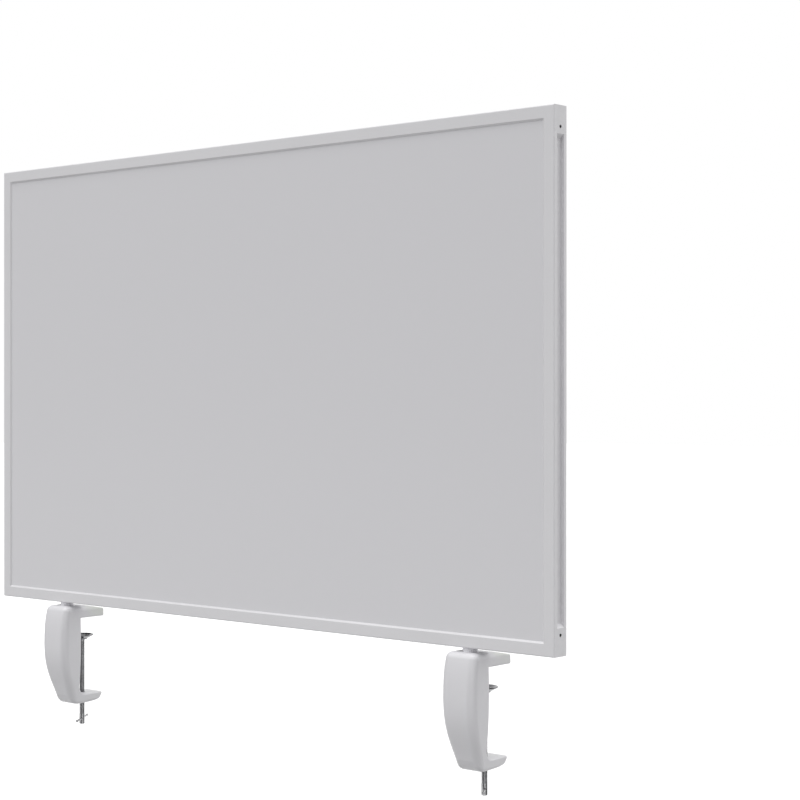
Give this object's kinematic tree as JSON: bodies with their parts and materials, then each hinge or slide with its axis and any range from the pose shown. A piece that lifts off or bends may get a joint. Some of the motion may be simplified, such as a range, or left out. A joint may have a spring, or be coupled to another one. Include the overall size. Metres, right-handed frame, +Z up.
{
  "type": "clamp-on desk divider screen",
  "caption": "Upright desk divider: grooved white frame round a board with a writing face and a felt back, on swivelling screw clamps.",
  "frame": {"origin": "On the desk's top edge, midway between the two clamps: the desk top is Z = 0 under the jaws and the desk's edge is Y = 0.", "axes": "+X along the screen, +Y in over the desk, towards the felt side, +Z up."},
  "size_m": [0.8, 0.0624, 0.6435],
  "materials": {
    "frame_white": "satin",
    "corner_white": "satin",
    "plated_steel": "satin",
    "black_screws": "satin",
    "writing_white": "gloss",
    "core_wood": "matte",
    "green_felt": "matte",
    "stud_white": "satin",
    "bush_plastic": "matte",
    "spring_steel": "satin",
    "clamp_white": "satin",
    "insert_brass": "satin",
    "screw_steel": "polished",
    "pad_steel": "polished"
  },
  "bodies": {
    "screen": {"top_rail": "frame_white", "bottom_rail": "frame_white", "left_stile": "frame_white", "right_stile": "frame_white", "corner_key_bottom_left": "plated_steel", "corner_block_bottom_left": "corner_white", "corner_key_bottom_right": "plated_steel", "corner_block_bottom_right": "corner_white", "corner_key_top_left": "plated_steel", "corner_block_top_left": "corner_white", "corner_key_top_right": "plated_steel", "corner_block_top_right": "corner_white", "corner_set_screws": "black_screws", "writing_sheet": "writing_white", "core_board": "core_wood", "felt_sheet": "green_felt", "nut_plate_left": "plated_steel", "pivot_stud_left": "stud_white", "nut_plate_right": "plated_steel", "pivot_stud_right": "stud_white"},
    "clamp_left": {"clamp_body_left": "clamp_white", "pivot_bush_left": "bush_plastic", "snap_ring_left": "spring_steel", "thread_insert_left": "insert_brass"},
    "pad_left": {"pressure_pad_left": "pad_steel"},
    "screw_left": {"spindle_left": "screw_steel"},
    "bar_left": {"tommy_bar_left": "screw_steel"},
    "clamp_right": {"clamp_body_right": "clamp_white", "pivot_bush_right": "bush_plastic", "snap_ring_right": "spring_steel", "thread_insert_right": "insert_brass"},
    "pad_right": {"pressure_pad_right": "pad_steel"},
    "screw_right": {"spindle_right": "screw_steel"},
    "bar_right": {"tommy_bar_right": "screw_steel"}
  },
  "joints": [
    {"name": "clamp_swivel_left", "type": "hinge", "parent": "screen", "child": "clamp_left", "pos_m": [-0.2955, -0.005, 0.016], "axis": [0, 0, 1], "continuous": true},
    {"name": "pad_travel_left", "type": "slide", "parent": "clamp_left", "child": "pad_left", "axis": [0, 0, 1], "range_m": [-0.059, 0.0183]},
    {"name": "spindle_turn_left", "type": "hinge", "parent": "pad_left", "child": "screw_left", "pos_m": [-0.2955, 0.017, -0.06], "axis": [0, 0, 1], "range_deg": [-18720, 5760]},
    {"name": "bar_slide_left", "type": "slide", "parent": "screw_left", "child": "bar_left", "axis": [-0.5736, 0.8192, 0], "range_m": [-0.0169, 0.0169]},
    {"name": "clamp_swivel_right", "type": "hinge", "parent": "screen", "child": "clamp_right", "pos_m": [0.2955, -0.005, 0.016], "axis": [0, 0, 1], "continuous": true},
    {"name": "pad_travel_right", "type": "slide", "parent": "clamp_right", "child": "pad_right", "axis": [0, 0, 1], "range_m": [-0.059, 0.0183]},
    {"name": "spindle_turn_right", "type": "hinge", "parent": "pad_right", "child": "screw_right", "pos_m": [0.2955, 0.017, -0.06], "axis": [0, 0, 1], "range_deg": [-18720, 5760]},
    {"name": "bar_slide_right", "type": "slide", "parent": "screw_right", "child": "bar_right", "axis": [-0.5736, 0.8192, 0], "range_m": [-0.0169, 0.0169]}
  ],
  "couplings": [
    {"joint": "pad_travel_left", "follows": "spindle_turn_left", "m_per_rad": 0.00015915},
    {"joint": "pad_travel_right", "follows": "spindle_turn_right", "m_per_rad": 0.00015915}
  ]
}
